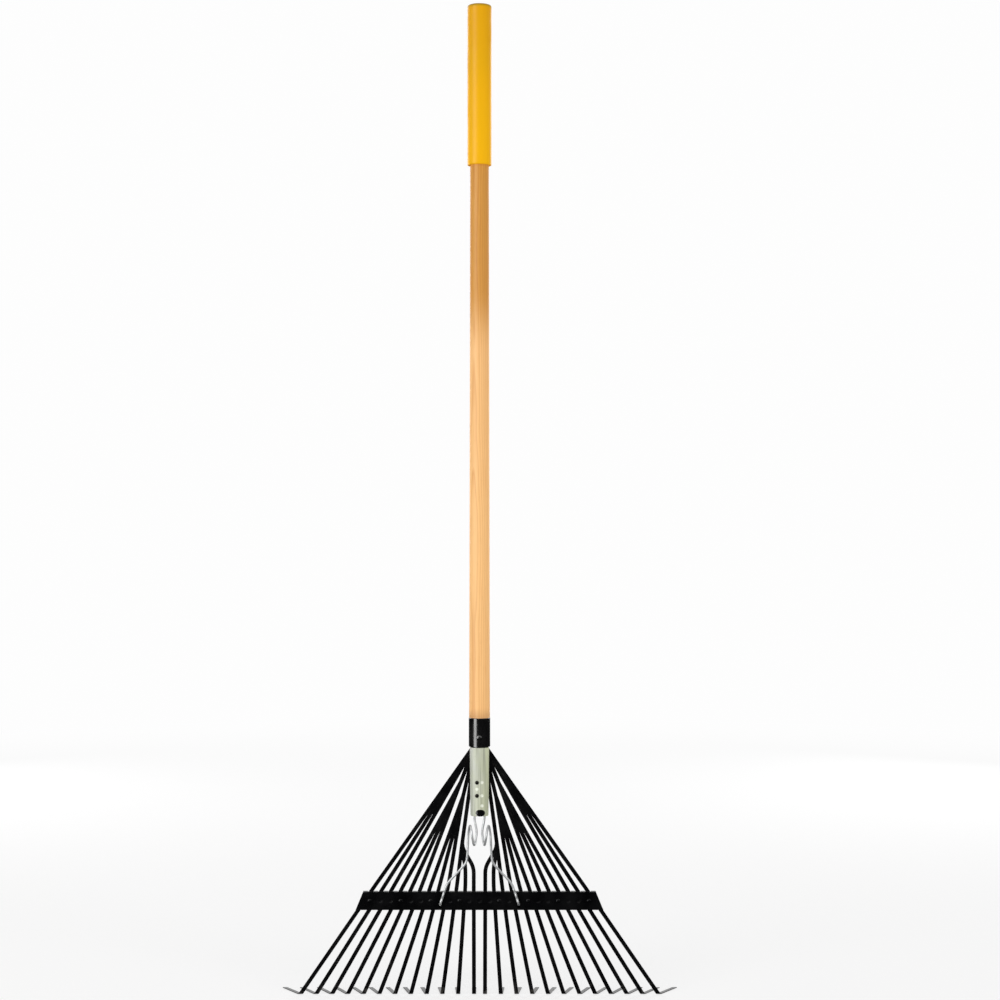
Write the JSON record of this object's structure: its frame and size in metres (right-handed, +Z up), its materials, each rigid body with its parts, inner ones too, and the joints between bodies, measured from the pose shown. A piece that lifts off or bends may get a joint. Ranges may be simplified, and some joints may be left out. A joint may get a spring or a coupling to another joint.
{
  "type": "leaf rake",
  "caption": "Leaf rake with a fan of flat spring steel tines, a spreader bar, a coil spring brace, and a wooden handle with a plastic end grip.",
  "frame": {"origin": "on the handle's axis, level with the underside of the hooks, midway between the brace's coils and the hook tips", "axes": "+Z up the handle from the hooks to the grip; -Y is the side with the spring brace, the hooks point to +Y; X runs along the spreader bar"},
  "size_m": [0.6392, 0.0878, 1.582],
  "materials": {
    "handle_wood": "clear varnished hardwood",
    "grip_plastic": "smooth golden yellow plastic",
    "black_enamel": "gloss black enamel on steel",
    "tine_enamel": "black enamel on spring steel, worn at the hooks",
    "zinc_cover": "zinc plate with a faint yellow-green passivation",
    "zinc_wire": "bright zinc-plated spring wire",
    "dark_rivet": "dark oxide steel",
    "bare_steel": "plain steel"
  },
  "bodies": {
    "handle": {"handle_shaft": "handle_wood", "end_grip": "grip_plastic", "ferrule": "black_enamel", "ferrule_rivet": "black_enamel", "clamp_cover": "zinc_cover", "clamp_core": "black_enamel", "clamp_back_plate": "black_enamel", "clamp_rivets": "dark_rivet", "root_pins": "bare_steel"},
    "head": {"tine_01": "tine_enamel", "tine_02": "tine_enamel", "tine_03": "tine_enamel", "tine_04": "tine_enamel", "tine_05": "tine_enamel", "tine_06": "tine_enamel", "tine_07": "tine_enamel", "tine_08": "tine_enamel", "tine_09": "tine_enamel", "tine_10": "tine_enamel", "tine_11": "tine_enamel", "tine_12": "tine_enamel", "tine_13": "tine_enamel", "tine_14": "tine_enamel", "tine_15": "tine_enamel", "tine_16": "tine_enamel", "tine_17": "tine_enamel", "tine_18": "tine_enamel", "tine_19": "tine_enamel", "tine_20": "tine_enamel", "tine_21": "tine_enamel", "tine_22": "tine_enamel", "tine_23": "tine_enamel", "tine_24": "tine_enamel", "spreader_channel": "black_enamel", "spreader_back_strip": "black_enamel", "spreader_rivets": "black_enamel"},
    "brace": {"spring_brace": "zinc_wire"}
  },
  "joints": [
    {"name": "head_flex", "type": "hinge", "parent": "handle", "child": "head", "pos_m": [0, 0, 0.36], "axis": [-1, 0, 0], "range_deg": [-3, 8], "stiffness_Nm_per_rad": 21, "deforming": ["tine_01", "tine_02", "tine_03", "tine_04", "tine_05", "tine_06", "tine_07", "tine_08", "tine_09", "tine_10", "tine_11", "tine_12", "tine_13", "tine_14", "tine_15", "tine_16", "tine_17", "tine_18", "tine_19", "tine_20", "tine_21", "tine_22", "tine_23", "tine_24"]},
    {"name": "brace_flex", "type": "hinge", "parent": "handle", "child": "brace", "pos_m": [0, -0.0271, 0.259], "axis": [-1, 0, 0], "range_deg": [-5.8, 15.3], "stiffness_Nm_per_rad": 24, "deforming": ["spring_brace"]}
  ],
  "couplings": [
    {"joint": "brace_flex", "follows": "head_flex", "ratio": 1.9}
  ]
}
